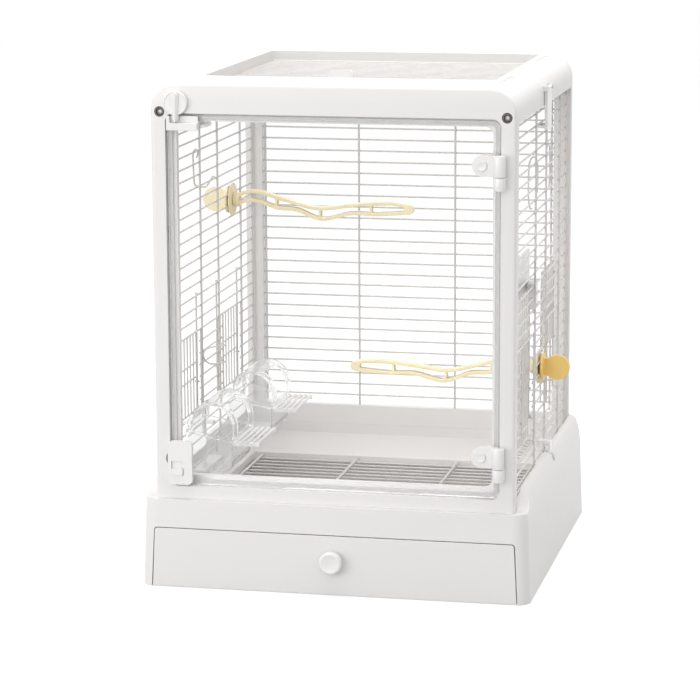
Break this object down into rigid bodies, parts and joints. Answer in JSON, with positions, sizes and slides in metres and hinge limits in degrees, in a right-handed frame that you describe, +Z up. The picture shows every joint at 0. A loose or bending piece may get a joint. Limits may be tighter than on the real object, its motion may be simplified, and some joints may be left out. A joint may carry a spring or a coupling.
{
  "type": "bird cage",
  "caption": "Upright cage with a clear hinged front door, wire sides with sliding gates, a lifting roof grille, hooded cups, perches and a pull-out drawer.",
  "frame": {"origin": "middle of the base's underside, on the surface that the cage stands on", "axes": "+X to the right seen from the front, +Y to the rear, +Z up"},
  "size_m": [0.4226, 0.4235, 0.52],
  "materials": {
    "white_plastic": "moulded white plastic, satin",
    "gloss_white": "moulded white plastic, glossy",
    "coated_wire": "steel wire with a white coating",
    "clear_plastic": "clear moulded plastic",
    "perch_plastic": "pale yellow plastic",
    "mustard_plastic": "mustard yellow plastic",
    "screw_steel": "dark plated steel"
  },
  "bodies": {
    "cage": {"base_shell": "white_plastic", "floor_grate": "coated_wire", "front_frame": "white_plastic", "rear_frame": "white_plastic", "roof_cover": "white_plastic", "left_panel": "coated_wire", "right_panel": "coated_wire", "rear_panel": "coated_wire", "left_guides": "coated_wire", "right_guides": "coated_wire", "frame_hinge_upper": "white_plastic", "frame_hinge_lower": "white_plastic", "frame_screws": "screw_steel", "cup_front": "clear_plastic", "cup_rear": "clear_plastic", "cup_hood_front": "clear_plastic", "cup_hood_rear": "clear_plastic", "cup_ladder_front": "clear_plastic", "cup_ladder_rear": "clear_plastic", "perch_upper": "perch_plastic", "perch_lower": "perch_plastic", "perch_washer_upper": "perch_plastic", "perch_washer_lower": "perch_plastic", "hook_left": "coated_wire", "hook_right_front": "coated_wire", "hook_right_rear": "coated_wire", "greens_rack": "coated_wire", "rack_plate": "white_plastic", "rack_bracket": "white_plastic", "wire_loop": "coated_wire"},
    "drawer": {"drawer": "white_plastic", "drawer_knob": "gloss_white"},
    "door": {"front_door": "clear_plastic", "door_leaf_upper": "white_plastic", "door_leaf_lower": "white_plastic", "leaf_screw_caps": "gloss_white", "catch_block": "gloss_white", "latch_body": "gloss_white"},
    "latch": {"latch_bolt": "gloss_white"},
    "knob": {"turn_knob": "gloss_white", "knob_retainer": "white_plastic"},
    "roof_hatch": {"roof_grille": "coated_wire", "roof_grip": "gloss_white"},
    "gate_left_front": {"feeder_door_left_front": "coated_wire"},
    "gate_left_rear": {"feeder_door_left_rear": "coated_wire"},
    "gate_right_front": {"feeder_door_right_front": "coated_wire"},
    "gate_right_rear": {"feeder_door_right_rear": "coated_wire"},
    "roof_clip_left": {"roof_clip_left": "white_plastic"},
    "roof_clip_right": {"roof_clip_right": "white_plastic"},
    "base_clip_left": {"base_clip_left": "white_plastic"},
    "base_clip_right": {"base_clip_right": "white_plastic"},
    "perch_knob_upper": {"thumb_knob_upper": "perch_plastic"},
    "perch_knob_lower": {"thumb_knob_lower": "mustard_plastic"}
  },
  "joints": [
    {"name": "drawer_slide", "type": "slide", "parent": "cage", "child": "drawer", "axis": [0, -1, 0], "range_m": [0, 0.3]},
    {"name": "door_hinge", "type": "hinge", "parent": "cage", "child": "door", "pos_m": [0.1705, -0.2052, 0.433], "axis": [0, 0, 1], "range_deg": [0, 110]},
    {"name": "latch_slide", "type": "slide", "parent": "door", "child": "latch", "axis": [0, 0, 1], "range_m": [0, 0.007]},
    {"name": "knob_turn", "type": "hinge", "parent": "cage", "child": "knob", "pos_m": [-0.159, -0.1985, 0.5], "axis": [0, -1, 0], "range_deg": [0, 90]},
    {"name": "roof_hatch_hinge", "type": "hinge", "parent": "cage", "child": "roof_hatch", "pos_m": [0, 0.1777, 0.5085], "axis": [-1, 0, 0], "range_deg": [0, 95]},
    {"name": "gate_left_front_slide", "type": "slide", "parent": "cage", "child": "gate_left_front", "axis": [0, 0, 1], "range_m": [0, 0.088]},
    {"name": "gate_left_rear_slide", "type": "slide", "parent": "cage", "child": "gate_left_rear", "axis": [0, 0, 1], "range_m": [0, 0.088]},
    {"name": "gate_right_front_slide", "type": "slide", "parent": "cage", "child": "gate_right_front", "axis": [0, 0, 1], "range_m": [0, 0.088]},
    {"name": "gate_right_rear_slide", "type": "slide", "parent": "cage", "child": "gate_right_rear", "axis": [0, 0, 1], "range_m": [-0.054, 0.034]},
    {"name": "roof_clip_left_hinge", "type": "hinge", "parent": "cage", "child": "roof_clip_left", "pos_m": [-0.1882, 0, 0.502], "axis": [0, 1, 0], "range_deg": [0, 60]},
    {"name": "roof_clip_right_hinge", "type": "hinge", "parent": "cage", "child": "roof_clip_right", "pos_m": [0.1882, 0, 0.502], "axis": [0, -1, 0], "range_deg": [0, 60]},
    {"name": "base_clip_left_hinge", "type": "hinge", "parent": "cage", "child": "base_clip_left", "pos_m": [-0.192, 0.0075, 0.106], "axis": [0, -1, 0], "range_deg": [0, 60]},
    {"name": "base_clip_right_hinge", "type": "hinge", "parent": "cage", "child": "base_clip_right", "pos_m": [0.192, 0.0075, 0.106], "axis": [0, 1, 0], "range_deg": [0, 60]},
    {"name": "perch_knob_upper_turn", "type": "hinge", "parent": "cage", "child": "perch_knob_upper", "pos_m": [-0.181, 0.094, 0.3624], "axis": [-1, 0, 0], "continuous": true},
    {"name": "perch_knob_lower_turn", "type": "hinge", "parent": "cage", "child": "perch_knob_lower", "pos_m": [0.181, 0.014, 0.2024], "axis": [1, 0, 0], "continuous": true}
  ]
}
